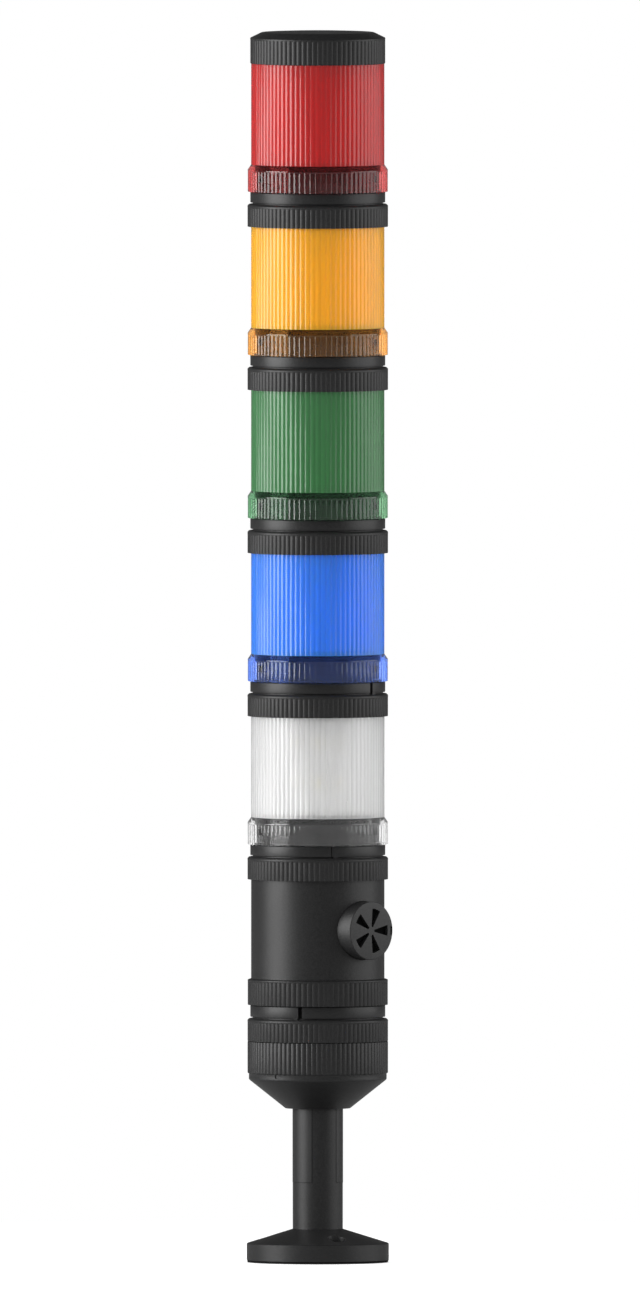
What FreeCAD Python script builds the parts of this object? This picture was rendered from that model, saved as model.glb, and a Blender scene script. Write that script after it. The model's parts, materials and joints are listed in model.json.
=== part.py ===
import FreeCAD, Part

import math
import os

# Signal tower: five lamp modules over a sounder module, a terminal head and a short tube stand.
# Every unit ends in a connector head. The head's drum goes up inside the skirt of the unit above,
# and tabs in that skirt lock into J-shaped grooves in the drum with a short twist.
# Millimetres. +Z is the tower's axis, the origin is the centre of the foot's mounting face,
# and azimuths are degrees from the front (-Y) towards the right (+X).

# --- Driving dimensions ---------------------------------------------------------------------------

# Running gaps and seats
joint_gap = 0.3                 # between two units that turn against each other
drum_gap = 0.4                  # between a drum and the bore it turns in
seat_gap = 0.1                  # between two pieces of one unit, on the radius
overrun = 1.0                   # cutters run this far past what they cut
root = 0.5                      # a moulded-on piece runs this far into what carries it

# Foot, gasket and tube
gasket_thickness = 1.0
gasket_inset = 0.3
foot_radius = 35.2
foot_edge_height = 8.5          # straight edge of the foot, above the gasket
foot_edge_chamfer = 0.5
foot_cone_rise = 6.9
foot_wall = 3.0
tube_radius = 12.4
tube_wall = 2.9
stand_height = 104.0
key_step = 0.1                  # the guide sector stands this much proud of the tube
key_start = 39.5
key_open_from = -13.0           # azimuths between which the tube has no guide sector
key_open_to = 47.0
mount_edge_inset = 9.2          # from the foot's edge to the axes of the fixing holes
mount_hole_count = 3
mount_hole_radius = 2.25
mount_head_radius = 4.5
mount_head_floor = 6.0          # floor of the screw-head pocket above the mounting face
mount_boss_wall = 2.3
mount_first_azimuth = 21.0

# Lower shell, tube socket and lock nut
shell_height = 33.1
shell_mouth_wall = 3.4          # round the tube at the cone's mouth
shell_cone_rise = 13.8
shell_cone_inset = 0.7          # top of the cone inside the plain band
shell_wall = 2.6
shell_band_height = 3.6
shell_band_inset = 0.7          # plain band inside the ribs above it
shell_notch_azimuth = -37.0
shell_notch_width = 1.4
shell_notch_height = 1.8
shell_notch_depth = 0.5
shell_rib_phase = -1.2
socket_wall = 2.8
socket_height = 21.9            # from the cone's mouth to the lock nut's seat
nut_height = 5.0
nut_wall = 3.4                  # across the nut's flats, on each side of its bore
tube_end_length = 1.0           # tube left above the lock nut
shell_seal_width = 1.2
shell_seal_height = 1.0

# Connector heads
ring_wall = 1.7
ring_height = 11.2
ring_rib_height = 9.6
ring_chamfer = 0.8
ring_seat_depth = 6.0           # how far the shell below goes up into the ring
groove_wall = 2.0               # of the drum behind its grooves
slit_height = 0.8               # shadow slit between ring and collar
slit_depth = 1.2
collar_wall = 2.2
collar_height = 5.0
terminal_collar_height = 5.6
split_width = 2.0
stop_width = 2.2                # stop that bridges the shadow slit beside the collar's split
stop_offset = 3.7               # degrees from the split
stop_inset = 0.1                # from the collar's face
drum_inset = 1.9                # the drum's radius is this much less than a module's
drum_height = 13.0
drum_plate = 2.0
spigot_height = 9.0
seal_width = 1.4
seal_height = 1.3

# Bayonet
tab_count = 3
tab_first_azimuth = 60.0
tab_span = 14.0                 # degrees
tab_height = 3.0
tab_depth = 1.6
tab_rise = 5.0                  # above the skirt's lower edge
twist = 24.0                    # degrees from locked to free
groove_gap = 0.4
groove_end_gap = 1.0            # degrees

# Ribs, as vertical ridges round a band
rib_depth = 0.5
rib_setback = 0.04              # rib crests lie this far inside the plain rim above them
ring_rib_count = 84
housing_rib_count = 79
lens_rib_count = 78
cap_rib_count = 80

# Module shells
module_radius = 33.0
skirt_step = 1.7                # the skirt stands this much proud of the module's wall
skirt_rib_height = 10.4
skirt_rim_height = 0.5
skirt_height = 13.4
ledge_height = 1.6
ledge_width = 3.1
drum_top_gap = 0.6
lens_height = 63.5
lens_wall = 2.1
flute_depth = 0.35              # of the upright flutes in a lens's wall
housing_height = 62.2
housing_wall = 2.6
housing_skirt_height = 12.5
housing_rib_height = 11.9
mark_width = 0.8
mark_height = 8.0
mark_step = 0.3
mark_rise = 0.8                 # from the skirt's or the ring's edge to the mark

# Contacts, light core and lamps
plate_thickness = 2.0
plate_gap = 0.3
pin_radius = 0.8
pin_circles = (7.0, 15.0, 21.0)
pin_head = 0.6
core_flats = 22.0
core_wall = 1.6
hexagon_sides = 6
led_size = 3.6
led_thickness = 0.9
led_rises = (30.0, 50.0)        # heights of the two rows above the skirt's lower edge

# Sounder
port_azimuth = 43.0
port_rise = 37.5                # port axis above the skirt's lower edge
port_radius = 14.45
port_stand_out = 5.9            # front face of the port, outside the module's wall
port_depth = 14.5
port_wall = 1.6
port_face = 2.0
port_gap = 0.25
flange_width = 1.6
flange_thickness = 1.2
slot_count = 5
slot_inner_radius = 2.1
slot_outer_radius = 11.1
slot_half_angle = 14.0
drain_width = 2.4
drain_depth = 1.2
membrane_thickness = 0.6
capsule_thickness = 7.0
board_thickness = 1.6
board_width = 44.0
board_offset = 8.0              # behind the tower's axis, seen from the port

# Terminal block
block_length = 36.0
block_width = 18.0
block_height = 14.0
screw_columns = 4
screw_rows = 2
screw_column_pitch = 8.4
screw_row_pitch = 9.0
screw_radius = 2.2
screw_depth = 2.5
screw_recess = 1.0
wire_hole_radius = 1.5
wire_hole_depth = 3.5

# Cap
cap_step = 0.45                 # the cap stands this much proud of the module's wall
cap_rib_height = 12.0
cap_rim_height = 0.7
cap_chamfer_width = 5.55
cap_edge_height = 15.4
cap_slope_width = 7.4           # from the top edge in to the flat middle
cap_rise = 0.3                  # from the top edge to the flat middle
cap_wall = 2.6
cap_plug_depth = 5.0
cap_plug_wall = 2.0
cap_seal_width = 1.4
cap_seal_height = 1.2

# Azimuths of each head's collar split and rib valleys, and of each lens's mark
split_azimuths = {
    "terminal": -15.3,
    "sounder": 12.0,
    "clear": 52.7,
    "blue": 165.0,
    "green": 165.0,
    "amber": 165.0,
}
ring_phases = {
    "terminal": 0.35,
    "sounder": 0.9,
    "clear": 0.5,
    "blue": -1.9,
    "green": -1.9,
    "amber": -1.9,
}
mark_azimuths = {
    "clear": 25.9,
    "blue": 155.0,
    "green": 155.0,
    "amber": 155.0,
    "red": 155.0,
}
housing_low_mark = 8.8
housing_high_mark = 1.0
lens_rib_phase = -2.0
housing_rib_phase = 0.0
cap_rib_phase = -0.5

# --- Sizes that follow ----------------------------------------------------------------------------

stacked_lamps = ("clear", "blue", "green", "amber")
top_lamp = "red"
drum_radius = module_radius - drum_inset
spigot_bore_radius = drum_radius + drum_gap
tab_inner_radius = spigot_bore_radius - tab_depth
groove_floor_radius = tab_inner_radius - groove_gap
head_bore_radius = groove_floor_radius - groove_wall
ring_bore_radius = module_radius + seat_gap
ring_radius = ring_bore_radius + ring_wall
collar_bore_radius = drum_radius + seat_gap
collar_radius = collar_bore_radius + collar_wall
skirt_radius = module_radius + skirt_step
ledge_bore_radius = spigot_bore_radius - ledge_width
seal_bore_radius = drum_radius + seat_gap
seal_outer_radius = seal_bore_radius + seal_width
rebate_radius = seal_outer_radius + joint_gap
collar_low = ring_height + slit_height
drum_reach = drum_height - joint_gap                      # drum's top above the next skirt's edge
ledge_low = drum_reach + drum_top_gap
ledge_top = ledge_low + ledge_height
plate_top = ledge_top + plate_thickness
tube_bore_radius = tube_radius - tube_wall
key_radius = tube_radius + key_step
mount_circle_radius = foot_radius - mount_edge_inset
mount_boss_radius = mount_head_radius + mount_boss_wall
socket_bore_radius = key_radius + seat_gap
socket_radius = socket_bore_radius + socket_wall
socket_top = stand_height - tube_end_length - nut_height
shell_bottom = socket_top - socket_height
shell_top = shell_bottom + shell_height
shell_mouth_radius = socket_bore_radius + shell_mouth_wall
shell_band_radius = ring_radius - shell_band_inset
shell_cone_radius = shell_band_radius - shell_cone_inset
shell_slope = shell_cone_rise / (shell_cone_radius - shell_mouth_radius)
cavity_lift = shell_wall * math.hypot(1.0, shell_slope)   # wall of the cone, measured upright
lens_bore_radius = module_radius - lens_wall
housing_bore_radius = module_radius - housing_wall
plug_radius = lens_bore_radius - seat_gap
plate_radius = min(lens_bore_radius, housing_bore_radius) - plate_gap
port_bore_radius = port_radius - port_wall
port_reach = module_radius + port_stand_out               # front face of the port from the tower's axis
port_back = port_reach - port_depth
cap_radius = module_radius + cap_step
cap_edge_radius = cap_radius - cap_chamfer_width
cap_flat_radius = cap_edge_radius - cap_slope_width

ORIGIN = FreeCAD.Vector(0, 0, 0)
UP = FreeCAD.Vector(0, 0, 1)


# --- Helpers --------------------------------------------------------------------------------------

def azimuth_vector(radius, azimuth, height):
    """Point at a radius and an azimuth from the front towards the right."""
    turn = math.radians(azimuth)
    return FreeCAD.Vector(radius * math.sin(turn), -radius * math.cos(turn), height)


def turned(profile, angle=360.0):
    """Solid turned about the tower's axis from a closed outline of (radius, height) points."""
    points = [FreeCAD.Vector(radius, 0, height) for radius, height in profile]
    face = Part.Face(Part.makePolygon(points + points[:1]))
    return face.revolve(ORIGIN, UP, angle)


def ring(inner, outer, low, high):
    """Plain ring, or a disc where the inner radius is nought."""
    return turned([(inner, low), (outer, low), (outer, high), (inner, high)])


def sector(inner, outer, low, high, from_azimuth, to_azimuth):
    """Part of a ring between two azimuths."""
    profile = [(inner, low), (outer, low), (outer, high), (inner, high)]
    solid = turned(profile, to_azimuth - from_azimuth)
    solid.rotate(ORIGIN, UP, from_azimuth - 90.0)
    return solid


def upright_cylinder(radius, low, high, centre_radius, azimuth):
    """Cylinder along the tower's axis, its centre at a radius and an azimuth."""
    return Part.makeCylinder(radius, high - low, azimuth_vector(centre_radius, azimuth, low), UP)


def ridge_outline(valley, crest, count, phase, height):
    """Closed zigzag wire of ridges round the axis; the valleys start at the phase azimuth."""
    pitch = 360.0 / count
    points = []
    for number in range(count):
        azimuth = phase + number * pitch
        points.append(azimuth_vector(valley, azimuth, height))
        points.append(azimuth_vector(crest, azimuth + pitch / 2, height))
    return Part.makePolygon(points + points[:1])


def ridged_prism(valley, crest, count, phase, low, high):
    """Solid prism whose side is a row of upright ridges."""
    face = Part.Face(ridge_outline(valley, crest, count, phase, low))
    return face.extrude(FreeCAD.Vector(0, 0, high - low))


def ribbed_band(rim_radius, count, phase, low, high):
    """Band of grip ribs whose crests lie just inside a plain rim of that radius."""
    crest = rim_radius - rib_setback
    return ridged_prism(crest - rib_depth, crest, count, phase, low, high)


def box_at(width, depth, low, high, radius, azimuth):
    """Upright box centred at a radius, its depth along that radius."""
    solid = Part.makeBox(depth, width, high - low, FreeCAD.Vector(radius - depth / 2, -width / 2, low))
    solid.rotate(ORIGIN, UP, azimuth - 90.0)
    return solid


def hexagon(flats, first, low, high):
    """Upright hexagonal prism; first is the azimuth of one corner."""
    corner = flats / 2 / math.cos(math.pi / hexagon_sides)
    turns = [first + number * 360.0 / hexagon_sides for number in range(hexagon_sides)]
    points = [azimuth_vector(corner, azimuth, low) for azimuth in turns]
    face = Part.Face(Part.makePolygon(points + points[:1]))
    return face.extrude(FreeCAD.Vector(0, 0, high - low))


def bayonet_azimuths():
    """Azimuths of the tabs' centres with the unit locked."""
    return [tab_first_azimuth + number * 360.0 / tab_count for number in range(tab_count)]


def lifted(shape, height):
    """The shape moved up the tower's axis."""
    shape.translate(FreeCAD.Vector(0, 0, height))
    return shape


def fused(first, others):
    """One solid from several that touch."""
    return first.fuse(others).removeSplitter()


def facing_port(shape):
    """Turns a piece built along +X to face along the port's azimuth."""
    shape.rotate(ORIGIN, UP, port_azimuth - 90.0)
    return shape


def save(node, shapes, height=0.0):
    """Writes one node, made of one solid or of several like ones, at its height in the tower."""
    solids = shapes if isinstance(shapes, list) else [shapes]
    kept = []
    for solid in solids:
        if not solid.isValid() or len(solid.Solids) != 1:
            raise ValueError(f"{node} isn't one valid solid")
        kept.append(lifted(solid.Solids[0].copy(), height))
    shape = kept[0] if len(kept) == 1 else Part.makeCompound(kept)
    shape.exportStep(os.path.join("parts", node + ".step"))


# --- Foot, tube and gasket ------------------------------------------------------------------------

def mount_azimuths():
    """Azimuths of the fixing holes."""
    return [mount_first_azimuth + number * 360.0 / mount_hole_count for number in range(mount_hole_count)]


def make_gasket():
    """Flat gasket under the foot, with the cable way and the fixing holes cut through."""
    solid = ring(tube_bore_radius, foot_radius - gasket_inset, 0.0, gasket_thickness)
    above = gasket_thickness + overrun
    holes = [
        upright_cylinder(mount_hole_radius, -overrun, above, mount_circle_radius, azimuth)
        for azimuth in mount_azimuths()
    ]
    return solid.cut(holes)


def make_stand():
    """Foot and tube moulded as one: a hollow cone foot with screw bosses, and a keyed tube."""
    edge_top = gasket_thickness + foot_edge_height
    cone_top = edge_top + foot_cone_rise
    body = turned([
        (tube_bore_radius, gasket_thickness),
        (foot_radius, gasket_thickness),
        (foot_radius, edge_top - foot_edge_chamfer),
        (foot_radius - foot_edge_chamfer, edge_top),
        (key_radius, cone_top),
        (tube_radius, cone_top),
        (tube_radius, stand_height),
        (tube_bore_radius, stand_height),
    ])
    hub_radius = tube_radius + foot_wall
    pocket_radius = foot_radius - foot_wall
    slope = foot_cone_rise / (foot_radius - foot_edge_chamfer - key_radius)
    roof_at_edge = edge_top - foot_wall
    roof_at_hub = roof_at_edge + slope * (pocket_radius - hub_radius)
    pocket = turned([
        (hub_radius, gasket_thickness - overrun),
        (pocket_radius, gasket_thickness - overrun),
        (pocket_radius, roof_at_edge),
        (hub_radius, roof_at_hub),
    ])
    body = body.cut(pocket)
    bosses = []
    drilled = []
    for azimuth in mount_azimuths():
        place = (mount_circle_radius, azimuth)
        bosses.append(upright_cylinder(mount_boss_radius, gasket_thickness, roof_at_edge + overrun, *place))
        drilled.append(upright_cylinder(mount_hole_radius, -overrun, cone_top, *place))
        drilled.append(upright_cylinder(mount_head_radius, mount_head_floor, cone_top + overrun, *place))
    body = fused(body, bosses).cut(drilled)
    key = sector(tube_radius - root, key_radius, key_start, stand_height, key_open_to, key_open_from + 360.0)
    return fused(body, [key])


# --- Lower shell, lock nut and seal ---------------------------------------------------------------

def make_lower_shell():
    """Cone-bottomed cup with a tube socket, grip ribs round its top and tabs inside its bore."""
    cone_top = shell_bottom + shell_cone_rise
    band_top = cone_top + shell_band_height
    step = shell_band_radius - shell_cone_radius
    lower = turned([
        (0.0, shell_bottom),
        (shell_mouth_radius, shell_bottom),
        (shell_cone_radius, cone_top),
        (shell_band_radius, cone_top + step),
        (shell_band_radius, band_top),
        (0.0, band_top),
    ])
    knurl = ribbed_band(ring_radius, ring_rib_count, shell_rib_phase, band_top, shell_top)
    cavity_floor = shell_bottom + cavity_lift + (socket_radius - shell_mouth_radius) * shell_slope
    cavity_edge = cavity_floor + (spigot_bore_radius - socket_radius) * shell_slope
    cavity = turned([
        (socket_radius, cavity_floor),
        (spigot_bore_radius, cavity_edge),
        (spigot_bore_radius, shell_top + overrun),
        (0.0, shell_top + overrun),
        (0.0, socket_top),
        (socket_radius, socket_top),
    ])
    socket = ring(0.0, socket_bore_radius, shell_bottom - overrun, socket_top + overrun)
    seal_groove = ring(*seal_groove_radii(), shell_top - shell_seal_height, shell_top + overrun)
    notch = box_at(
        shell_notch_width, 2 * shell_notch_depth, band_top - shell_notch_height, band_top,
        shell_band_radius, shell_notch_azimuth,
    )
    shell = fused(lower, [knurl]).cut([cavity, socket, seal_groove, notch])
    tab_low = shell_top - tab_rise - tab_height
    return fused(shell, [make_tab(tab_low, azimuth) for azimuth in bayonet_azimuths()])


def seal_groove_radii():
    """Inner and outer radius of the seal groove in the lower shell's rim."""
    middle = (spigot_bore_radius + ring_radius - rib_depth) / 2
    return middle - shell_seal_width / 2, middle + shell_seal_width / 2


def make_tab(low, azimuth):
    """Bayonet tab, rooted in the wall round the bore."""
    return sector(
        tab_inner_radius, spigot_bore_radius + root, low, low + tab_height,
        azimuth - tab_span / 2, azimuth + tab_span / 2,
    )


def make_tube_nut():
    """Hexagon lock nut that holds the tube in its socket."""
    nut = hexagon(2 * (socket_bore_radius + nut_wall), 0.0, socket_top, socket_top + nut_height)
    return nut.cut(ring(0.0, socket_bore_radius, socket_top - overrun, stand_height))


# --- Connector heads ------------------------------------------------------------------------------

def groove_cutters(low, high, mouth, hand):
    """J grooves for the tabs: a level run as long as the twist, then a way out to the mouth height.

    hand is 1 where the unit with the tabs turns, and -1 where the unit with the grooves turns.
    """
    half = tab_span / 2 + groove_end_gap
    cutters = []
    for azimuth in bayonet_azimuths():
        free = azimuth + hand * twist
        start = min(azimuth, free) - half
        end = max(azimuth, free) + half
        outer = drum_radius + overrun
        cutters.append(sector(groove_floor_radius, outer, low, high, start, end))
        way_low = min(low, mouth)
        way_high = max(high, mouth)
        cutters.append(sector(groove_floor_radius, outer, way_low, way_high, free - half, free + half))
    return cutters


def make_head(unit, collar_rise):
    """Head of a unit, from the lower edge of its grip ring: ring, shadow slit and closed drum."""
    drum_low = collar_low
    collar_top = collar_low + collar_rise
    drum_top = collar_top + drum_height
    slit_radius = collar_radius - slit_depth
    chamfer_radius = ring_radius - ring_chamfer
    upper = turned([
        (0.0, ring_rib_height),
        (ring_radius, ring_rib_height),
        (ring_radius, ring_height - ring_chamfer),
        (chamfer_radius, ring_height),
        (slit_radius, ring_height),
        (slit_radius, drum_low),
        (drum_radius, drum_low),
        (drum_radius, drum_top),
        (0.0, drum_top),
    ])
    band = ribbed_band(ring_radius, ring_rib_count, ring_phases[unit], 0.0, ring_rib_height)
    side = -1.0 if unit == "terminal" else 1.0
    stop_azimuth = split_azimuths[unit] + side * stop_offset
    stop_half = math.degrees(stop_width / 2 / collar_radius)
    stop = sector(
        slit_radius - root, collar_radius - stop_inset, ring_height, drum_low,
        stop_azimuth - stop_half, stop_azimuth + stop_half,
    )
    head = fused(band, [upper, stop])
    grooves = groove_cutters(
        collar_top + joint_gap + tab_rise - groove_gap,
        collar_top + joint_gap + tab_rise + tab_height + groove_gap,
        drum_top + overrun,
        1,
    )
    hollow_top = drum_top - drum_plate
    if unit == "terminal":
        spigot = ring(0.0, drum_radius, -spigot_height, root)
        head = fused(head, [spigot])
        low = -joint_gap - tab_rise - tab_height - groove_gap
        grooves += groove_cutters(low, low + tab_height + 2 * groove_gap, -spigot_height - overrun, -1)
        hollow = ring(0.0, head_bore_radius, -spigot_height - overrun, hollow_top)
    else:
        hollow = turned([
            (0.0, -overrun),
            (ring_bore_radius, -overrun),
            (ring_bore_radius, ring_seat_depth),
            (head_bore_radius, ring_seat_depth),
            (head_bore_radius, hollow_top),
            (0.0, hollow_top),
        ])
    return head.cut([hollow] + grooves)


def make_collar(unit, collar_rise):
    """Split locking collar round the foot of the drum."""
    collar_top = collar_low + collar_rise
    solid = ring(collar_bore_radius, collar_radius, collar_low, collar_top)
    middle = (collar_bore_radius + collar_radius) / 2
    split = box_at(
        split_width, 2 * collar_wall, collar_low - overrun, collar_top + overrun, middle, split_azimuths[unit]
    )
    return solid.cut(split)


def save_head(unit, height, collar_rise):
    """Writes the head, collar and seal of a unit, and returns the height of the next skirt's edge."""
    collar_top = collar_low + collar_rise
    save(unit + "_head", make_head(unit, collar_rise), height)
    save(unit + "_collar", make_collar(unit, collar_rise), height)
    seal = ring(seal_bore_radius, seal_outer_radius, collar_top, collar_top + seal_height)
    save(unit + "_seal", seal, height)
    return height + collar_top + joint_gap


# --- Module shells --------------------------------------------------------------------------------

def ribbed_skirt(count, phase, rib_height, skirt_top, shoulder):
    """Outside of a module's skirt: grip ribs, plain rim and shoulder, solid inside."""
    upper = turned([
        (0.0, rib_height),
        (skirt_radius, rib_height),
        (skirt_radius, skirt_top - shoulder),
        (module_radius, skirt_top),
        (0.0, skirt_top),
    ])
    return fused(ribbed_band(skirt_radius, count, phase, 0.0, rib_height), [upper])


def skirt_bore():
    """Space inside a skirt: seal rebate, drum bore and the opening in the ledge."""
    return turned([
        (0.0, -overrun),
        (rebate_radius, -overrun),
        (rebate_radius, seal_height),
        (spigot_bore_radius, seal_height),
        (spigot_bore_radius, ledge_low),
        (ledge_bore_radius, ledge_low),
        (ledge_bore_radius, ledge_top),
        (0.0, ledge_top),
    ])


def skirt_tabs():
    """The bayonet tabs inside a skirt."""
    return [make_tab(tab_rise, azimuth) for azimuth in bayonet_azimuths()]


def upright_mark(low, azimuth):
    """Slim raised index line on a module's wall."""
    middle = module_radius + (mark_step - root) / 2
    return box_at(mark_width, mark_step + root, low, low + mark_height, middle, azimuth)


def make_lens(colour):
    """Lens moulding: clear wall with upright flutes outside, on a ribbed skirt with bayonet tabs."""
    top = lens_height
    if colour != top_lamp:
        top += ring_seat_depth
    shoulder = skirt_height - skirt_rib_height - skirt_rim_height
    skirt = ribbed_skirt(lens_rib_count, lens_rib_phase, skirt_rib_height, skirt_height, shoulder)
    valley = module_radius - flute_depth
    wall = ridged_prism(valley, module_radius, lens_rib_count, lens_rib_phase, skirt_height, top)
    mark = upright_mark(skirt_height + mark_rise, mark_azimuths[colour])
    inside = ring(0.0, lens_bore_radius, ledge_top, top + overrun)
    lens = fused(skirt, [wall, mark]).cut([skirt_bore(), inside])
    return fused(lens, skirt_tabs())


def make_housing():
    """Sounder housing: closed wall on a ribbed skirt, with a round hole for the sound port."""
    top = housing_height + ring_seat_depth
    shoulder = housing_skirt_height - housing_rib_height
    skirt_top = housing_skirt_height + shoulder
    skirt = ribbed_skirt(housing_rib_count, housing_rib_phase, housing_rib_height, skirt_top, shoulder)
    wall = ring(0.0, module_radius, skirt_top, top)
    marks = [
        upright_mark(housing_skirt_height + mark_rise, housing_low_mark),
        upright_mark(housing_height - mark_rise - mark_height, housing_high_mark),
    ]
    housing = fused(skirt, [wall] + marks)
    inside = ring(0.0, housing_bore_radius, ledge_top, top + overrun)
    hole = port_cylinder(port_radius + port_gap, 0.0, port_reach)
    housing = housing.cut([skirt_bore(), inside, hole])
    return fused(housing, skirt_tabs())


# --- Contacts and light core ----------------------------------------------------------------------

def pin_places():
    """Radius and azimuth of each contact pin, one on each contact track."""
    return [(radius, 120.0 * number) for number, radius in enumerate(pin_circles)]


def make_contact_plate():
    """Round plate on the ledge, drilled for the contact pins."""
    plate = ring(0.0, plate_radius, ledge_top, plate_top)
    low = ledge_top - overrun
    high = plate_top + overrun
    return plate.cut([upright_cylinder(pin_radius, low, high, *place) for place in pin_places()])


def make_contact_pins():
    """Contact pins through the plate, down to just above the drum below."""
    low = drum_reach + joint_gap
    return [upright_cylinder(pin_radius, low, plate_top + pin_head, *place) for place in pin_places()]


def make_core(top):
    """White hexagonal board tube, one flat to the front, from the contact plate to the roof."""
    first = 180.0 / hexagon_sides
    outside = hexagon(core_flats, first, plate_top, top)
    inside = hexagon(core_flats - 2 * core_wall, first, plate_top - overrun, top + overrun)
    return outside.cut(inside)


def make_leds():
    """Two rows of lamps, one on each face of the board tube."""
    radius = (core_flats + led_thickness) / 2
    leds = []
    for rise in led_rises:
        low = rise - led_size / 2
        for number in range(hexagon_sides):
            azimuth = number * 360.0 / hexagon_sides
            leds.append(box_at(led_size, led_thickness, low, low + led_size, radius, azimuth))
    return leds


def save_inside(unit, height, core_top):
    """Writes the contact plate and pins of a unit, and its light core where it is a lamp."""
    save(unit + "_contact_plate", make_contact_plate(), height)
    save(unit + "_contact_pins", make_contact_pins(), height)
    if unit != "sounder":
        save(unit + "_light_core", make_core(core_top), height)
        save(unit + "_leds", make_leds(), height)


# --- Sounder --------------------------------------------------------------------------------------

def port_cylinder(radius, start, end):
    """Cylinder on the port's axis, between two distances from the tower's axis."""
    back = FreeCAD.Vector(start, 0, port_rise)
    return facing_port(Part.makeCylinder(radius, end - start, back, FreeCAD.Vector(1, 0, 0)))


def port_slot(direction):
    """Wedge-shaped sound slot through the port's face; direction is degrees from the right."""
    thickness = port_face + 2 * overrun

    def place(radius, turn):
        angle = math.radians(direction + turn)
        across = radius * math.cos(angle)
        up = radius * math.sin(angle)
        return FreeCAD.Vector(port_reach + overrun, across, port_rise + up)

    low_inner = place(slot_inner_radius, -slot_half_angle)
    low_outer = place(slot_outer_radius, -slot_half_angle)
    crown = place(slot_outer_radius, 0.0)
    high_outer = place(slot_outer_radius, slot_half_angle)
    high_inner = place(slot_inner_radius, slot_half_angle)
    edges = [
        Part.LineSegment(low_inner, low_outer).toShape(),
        Part.Arc(low_outer, crown, high_outer).toShape(),
        Part.LineSegment(high_outer, high_inner).toShape(),
        Part.LineSegment(high_inner, low_inner).toShape(),
    ]
    face = Part.Face(Part.Wire(edges))
    return facing_port(face.extrude(FreeCAD.Vector(-thickness, 0, 0)))


def make_sound_port():
    """Round cup that looks out of the housing, with sound slots in its face and a rear flange."""
    cup = port_cylinder(port_radius, port_back, port_reach)
    flange = port_cylinder(port_radius + flange_width, port_back, port_back + flange_thickness)
    bore = port_cylinder(port_bore_radius, port_back - overrun, port_reach - port_face)
    slots = [port_slot(number * 360.0 / slot_count) for number in range(slot_count)]
    drain = Part.makeBox(
        2 * drain_depth, 2 * drain_depth, drain_width,
        FreeCAD.Vector(port_reach - drain_depth, port_radius - drain_depth, port_rise - drain_width / 2),
    )
    return fused(cup, [flange]).cut([bore, facing_port(drain)] + slots)


def save_sounder(height):
    """Writes the sounder's own pieces and returns the height of its grip ring."""
    save("sounder_housing", make_housing(), height)
    save("sound_port", make_sound_port(), height)
    face_back = port_reach - port_face
    membrane_back = face_back - membrane_thickness
    capsule_back = membrane_back - capsule_thickness
    disc_radius = port_bore_radius - seat_gap
    save("port_membrane", port_cylinder(disc_radius, membrane_back, face_back), height)
    save("sounder_capsule", port_cylinder(disc_radius, capsule_back, membrane_back), height)
    board_top = housing_height + collar_low + collar_height + drum_height - drum_plate
    board = Part.makeBox(
        board_thickness, board_width, board_top - plate_top,
        FreeCAD.Vector(-board_offset - board_thickness, -board_width / 2, plate_top),
    )
    save("sounder_board", facing_port(board), height)
    save_inside("sounder", height, board_top)
    return height + housing_height


# --- Terminal block -------------------------------------------------------------------------------

def terminal_places():
    """Centres of the terminal screws."""
    places = []
    for column in range(screw_columns):
        for row in range(screw_rows):
            x = (column - (screw_columns - 1) / 2) * screw_column_pitch
            y = (row - (screw_rows - 1) / 2) * screw_row_pitch
            places.append((x, y))
    return places


def save_terminals(height):
    """Writes the terminal block under the drum's plate, and its screws, which face down."""
    roof = collar_low + terminal_collar_height + drum_height - drum_plate
    low = roof - block_height
    block = Part.makeBox(
        block_length, block_width, block_height, FreeCAD.Vector(-block_length / 2, -block_width / 2, low)
    )
    pockets = []
    screws = []
    for x, y in terminal_places():
        below = FreeCAD.Vector(x, y, low - overrun)
        seat = FreeCAD.Vector(x, y, low + screw_recess)
        pocket_depth = overrun + screw_recess + screw_depth
        pockets.append(Part.makeCylinder(screw_radius + seat_gap, pocket_depth, below, UP))
        screws.append(Part.makeCylinder(screw_radius, screw_depth, seat, UP))
        side = math.copysign(1.0, y)
        mouth = FreeCAD.Vector(x, side * (block_width / 2 + overrun), low + block_height / 2)
        inward = FreeCAD.Vector(0, -side, 0)
        pockets.append(Part.makeCylinder(wire_hole_radius, overrun + wire_hole_depth, mouth, inward))
    save("terminal_block", block.cut(pockets), height)
    save("terminal_screws", screws, height)


# --- Cap ------------------------------------------------------------------------------------------

def make_cap():
    """Closed cap: ribbed side, broad chamfer, gently raised top and a plug into the lens."""
    rim_top = cap_rib_height + cap_rim_height
    top = turned([
        (0.0, cap_rib_height),
        (cap_radius, cap_rib_height),
        (cap_radius, rim_top),
        (cap_edge_radius, cap_edge_height),
        (cap_flat_radius, cap_edge_height + cap_rise),
        (0.0, cap_edge_height + cap_rise),
    ])
    plug = ring(0.0, plug_radius, -cap_plug_depth, root)
    cap = fused(ribbed_band(cap_radius, cap_rib_count, cap_rib_phase, 0.0, cap_rib_height), [top, plug])
    hollow = ring(0.0, plug_radius - cap_plug_wall, -cap_plug_depth - overrun, cap_edge_height - cap_wall)
    groove = ring(*cap_seal_radii(), -overrun, cap_seal_height)
    return cap.cut([hollow, groove])


def cap_seal_radii():
    """Inner and outer radius of the seal between the cap and the lens's upper edge."""
    middle = (lens_bore_radius + module_radius) / 2
    return middle - cap_seal_width / 2, middle + cap_seal_width / 2


# --- Assembly -------------------------------------------------------------------------------------

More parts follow.
